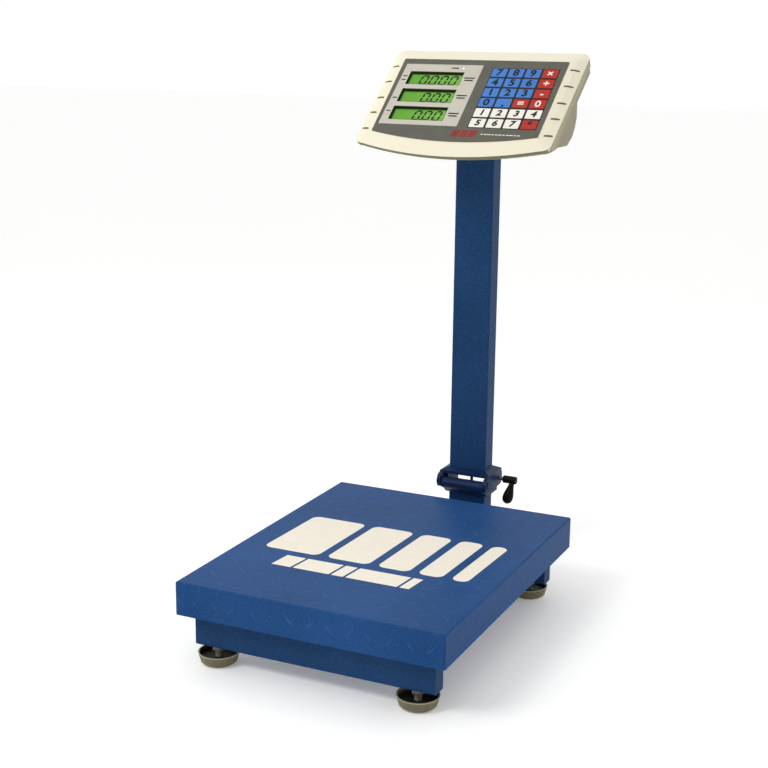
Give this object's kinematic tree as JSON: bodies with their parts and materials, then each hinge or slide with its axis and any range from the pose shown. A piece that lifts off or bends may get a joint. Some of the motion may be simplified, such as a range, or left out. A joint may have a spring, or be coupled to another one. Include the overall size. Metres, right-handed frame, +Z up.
{
  "type": "platform scale",
  "caption": "Floor-standing platform scale: flat square-edged deck on a low base with levelling feet, a folding rear column and a tilted price-computing display head.",
  "frame": {"origin": "on the floor under the middle of the whole object's outline, seen from above", "axes": "+X to the right when facing the keypad, +Y from the front edge of the deck towards the column, +Z up"},
  "size_m": [0.4, 0.654, 0.8179],
  "materials": {
    "deck_paint": "fine orange-peel gloss enamel",
    "frame_paint": "fine orange-peel gloss enamel",
    "cell_metal": "milled",
    "zinc": "zinc plated",
    "foot_metal": "olive passivated",
    "pad_rubber": "matt",
    "case_plastic": "champagne silver",
    "rear_plastic": "champagne grey, matt",
    "panel_print": "printed sheet",
    "lcd_glass": "lit green",
    "board_green": "solder mask",
    "battery_case": "moulded",
    "black_plastic": "moulded",
    "rocker_red": "moulded",
    "crank_black": "moulded",
    "key_blue": "printed",
    "key_red": "printed",
    "key_white": "printed"
  },
  "bodies": {
    "base": {"front_beam": "frame_paint", "rear_beam": "frame_paint", "base_spine": "frame_paint", "rear_arm": "frame_paint", "load_cell": "cell_metal", "cell_base_bolts": "zinc", "lower_post": "frame_paint", "hinge_base": "frame_paint", "hinge_pin": "zinc", "foot_nuts": "zinc"},
    "deck": {"platform_pan": "deck_paint", "spider_front_arm": "frame_paint", "spider_rear_arm": "frame_paint", "spider_spine": "frame_paint", "cell_deck_bolts": "zinc", "pan_pads": "pad_rubber"},
    "column": {"hinge_yoke": "frame_paint", "pole_tube": "frame_paint", "head_mount": "frame_paint", "head_front_shell": "case_plastic", "head_rear_shell": "rear_plastic", "face_panel": "panel_print", "lcd_modules": "lcd_glass", "circuit_board": "board_green", "battery": "battery_case", "battery_door": "rear_plastic", "charge_socket": "black_plastic", "switch_housing": "black_plastic", "head_screws": "zinc"},
    "crank": {"crank_bolt": "zinc", "crank_handle": "crank_black"},
    "foot_fl": {"foot_front_left": "foot_metal"},
    "foot_fr": {"foot_front_right": "foot_metal"},
    "foot_rl": {"foot_rear_left": "foot_metal"},
    "foot_rr": {"foot_rear_right": "foot_metal"},
    "rocker": {"power_rocker": "rocker_red"},
    "key_7": {"key_7": "key_blue"},
    "key_8": {"key_8": "key_blue"},
    "key_9": {"key_9": "key_blue"},
    "key_clear": {"key_clear": "key_red"},
    "key_4": {"key_4": "key_blue"},
    "key_5": {"key_5": "key_blue"},
    "key_6": {"key_6": "key_blue"},
    "key_add": {"key_add": "key_red"},
    "key_1": {"key_1": "key_blue"},
    "key_2": {"key_2": "key_blue"},
    "key_3": {"key_3": "key_blue"},
    "key_tare": {"key_tare": "key_red"},
    "key_0": {"key_0": "key_blue"},
    "key_point": {"key_point": "key_blue"},
    "key_store": {"key_store": "key_red"},
    "key_zero": {"key_zero": "key_red"},
    "key_m1": {"key_m1": "key_white"},
    "key_m2": {"key_m2": "key_white"},
    "key_m3": {"key_m3": "key_white"},
    "key_m4": {"key_m4": "key_white"},
    "key_m5": {"key_m5": "key_white"},
    "key_m6": {"key_m6": "key_white"},
    "key_m7": {"key_m7": "key_white"},
    "key_light": {"key_light": "key_red"}
  },
  "joints": [
    {"name": "column_fold", "type": "hinge", "parent": "base", "child": "column", "pos_m": [0, 0.221, 0.134], "axis": [1, 0, 0], "range_deg": [0, 79]},
    {"name": "crank_turn", "type": "hinge", "parent": "column", "child": "crank", "pos_m": [0, 0.273, 0.132], "axis": [1, 0, 0], "range_deg": [0, 300]},
    {"name": "deck_sink", "type": "slide", "parent": "base", "child": "deck", "axis": [0, 0, 1], "range_m": [-0.001, 0], "stiffness_N_per_m": 200000, "springref_m": 0.0005, "deforming": ["load_cell"]},
    {"name": "foot_front_left_height", "type": "slide", "parent": "base", "child": "foot_fl", "axis": [0, 0, 1], "range_m": [-0.012, 0.006]},
    {"name": "foot_front_right_height", "type": "slide", "parent": "base", "child": "foot_fr", "axis": [0, 0, 1], "range_m": [-0.012, 0.006]},
    {"name": "foot_rear_left_height", "type": "slide", "parent": "base", "child": "foot_rl", "axis": [0, 0, 1], "range_m": [-0.012, 0.006]},
    {"name": "foot_rear_right_height", "type": "slide", "parent": "base", "child": "foot_rr", "axis": [0, 0, 1], "range_m": [-0.012, 0.006]},
    {"name": "rocker_tilt", "type": "hinge", "parent": "column", "child": "rocker", "pos_m": [0.096, 0.3205, 0.745], "axis": [1, 0, 0], "range_deg": [0, 14]},
    {"name": "key_7_press", "type": "slide", "parent": "column", "child": "key_7", "axis": [0, -0.6334, 0.7738], "range_m": [-0.0006, 0], "stiffness_N_per_m": 800, "springref_m": 0.0004},
    {"name": "key_8_press", "type": "slide", "parent": "column", "child": "key_8", "axis": [0, -0.6334, 0.7738], "range_m": [-0.0006, 0], "stiffness_N_per_m": 800, "springref_m": 0.0004},
    {"name": "key_9_press", "type": "slide", "parent": "column", "child": "key_9", "axis": [0, -0.6334, 0.7738], "range_m": [-0.0006, 0], "stiffness_N_per_m": 800, "springref_m": 0.0004},
    {"name": "key_clear_press", "type": "slide", "parent": "column", "child": "key_clear", "axis": [0, -0.6334, 0.7738], "range_m": [-0.0006, 0], "stiffness_N_per_m": 800, "springref_m": 0.0004},
    {"name": "key_4_press", "type": "slide", "parent": "column", "child": "key_4", "axis": [0, -0.6334, 0.7738], "range_m": [-0.0006, 0], "stiffness_N_per_m": 800, "springref_m": 0.0004},
    {"name": "key_5_press", "type": "slide", "parent": "column", "child": "key_5", "axis": [0, -0.6334, 0.7738], "range_m": [-0.0006, 0], "stiffness_N_per_m": 800, "springref_m": 0.0004},
    {"name": "key_6_press", "type": "slide", "parent": "column", "child": "key_6", "axis": [0, -0.6334, 0.7738], "range_m": [-0.0006, 0], "stiffness_N_per_m": 800, "springref_m": 0.0004},
    {"name": "key_add_press", "type": "slide", "parent": "column", "child": "key_add", "axis": [0, -0.6334, 0.7738], "range_m": [-0.0006, 0], "stiffness_N_per_m": 800, "springref_m": 0.0004},
    {"name": "key_1_press", "type": "slide", "parent": "column", "child": "key_1", "axis": [0, -0.6334, 0.7738], "range_m": [-0.0006, 0], "stiffness_N_per_m": 800, "springref_m": 0.0004},
    {"name": "key_2_press", "type": "slide", "parent": "column", "child": "key_2", "axis": [0, -0.6334, 0.7738], "range_m": [-0.0006, 0], "stiffness_N_per_m": 800, "springref_m": 0.0004},
    {"name": "key_3_press", "type": "slide", "parent": "column", "child": "key_3", "axis": [0, -0.6334, 0.7738], "range_m": [-0.0006, 0], "stiffness_N_per_m": 800, "springref_m": 0.0004},
    {"name": "key_tare_press", "type": "slide", "parent": "column", "child": "key_tare", "axis": [0, -0.6334, 0.7738], "range_m": [-0.0006, 0], "stiffness_N_per_m": 800, "springref_m": 0.0004},
    {"name": "key_0_press", "type": "slide", "parent": "column", "child": "key_0", "axis": [0, -0.6334, 0.7738], "range_m": [-0.0006, 0], "stiffness_N_per_m": 800, "springref_m": 0.0004},
    {"name": "key_point_press", "type": "slide", "parent": "column", "child": "key_point", "axis": [0, -0.6334, 0.7738], "range_m": [-0.0006, 0], "stiffness_N_per_m": 800, "springref_m": 0.0004},
    {"name": "key_store_press", "type": "slide", "parent": "column", "child": "key_store", "axis": [0, -0.6334, 0.7738], "range_m": [-0.0006, 0], "stiffness_N_per_m": 800, "springref_m": 0.0004},
    {"name": "key_zero_press", "type": "slide", "parent": "column", "child": "key_zero", "axis": [0, -0.6334, 0.7738], "range_m": [-0.0006, 0], "stiffness_N_per_m": 800, "springref_m": 0.0004},
    {"name": "key_m1_press", "type": "slide", "parent": "column", "child": "key_m1", "axis": [0, -0.6334, 0.7738], "range_m": [-0.0006, 0], "stiffness_N_per_m": 800, "springref_m": 0.0004},
    {"name": "key_m2_press", "type": "slide", "parent": "column", "child": "key_m2", "axis": [0, -0.6334, 0.7738], "range_m": [-0.0006, 0], "stiffness_N_per_m": 800, "springref_m": 0.0004},
    {"name": "key_m3_press", "type": "slide", "parent": "column", "child": "key_m3", "axis": [0, -0.6334, 0.7738], "range_m": [-0.0006, 0], "stiffness_N_per_m": 800, "springref_m": 0.0004},
    {"name": "key_m4_press", "type": "slide", "parent": "column", "child": "key_m4", "axis": [0, -0.6334, 0.7738], "range_m": [-0.0006, 0], "stiffness_N_per_m": 800, "springref_m": 0.0004},
    {"name": "key_m5_press", "type": "slide", "parent": "column", "child": "key_m5", "axis": [0, -0.6334, 0.7738], "range_m": [-0.0006, 0], "stiffness_N_per_m": 800, "springref_m": 0.0004},
    {"name": "key_m6_press", "type": "slide", "parent": "column", "child": "key_m6", "axis": [0, -0.6334, 0.7738], "range_m": [-0.0006, 0], "stiffness_N_per_m": 800, "springref_m": 0.0004},
    {"name": "key_m7_press", "type": "slide", "parent": "column", "child": "key_m7", "axis": [0, -0.6334, 0.7738], "range_m": [-0.0006, 0], "stiffness_N_per_m": 800, "springref_m": 0.0004},
    {"name": "key_light_press", "type": "slide", "parent": "column", "child": "key_light", "axis": [0, -0.6334, 0.7738], "range_m": [-0.0006, 0], "stiffness_N_per_m": 800, "springref_m": 0.0004}
  ]
}
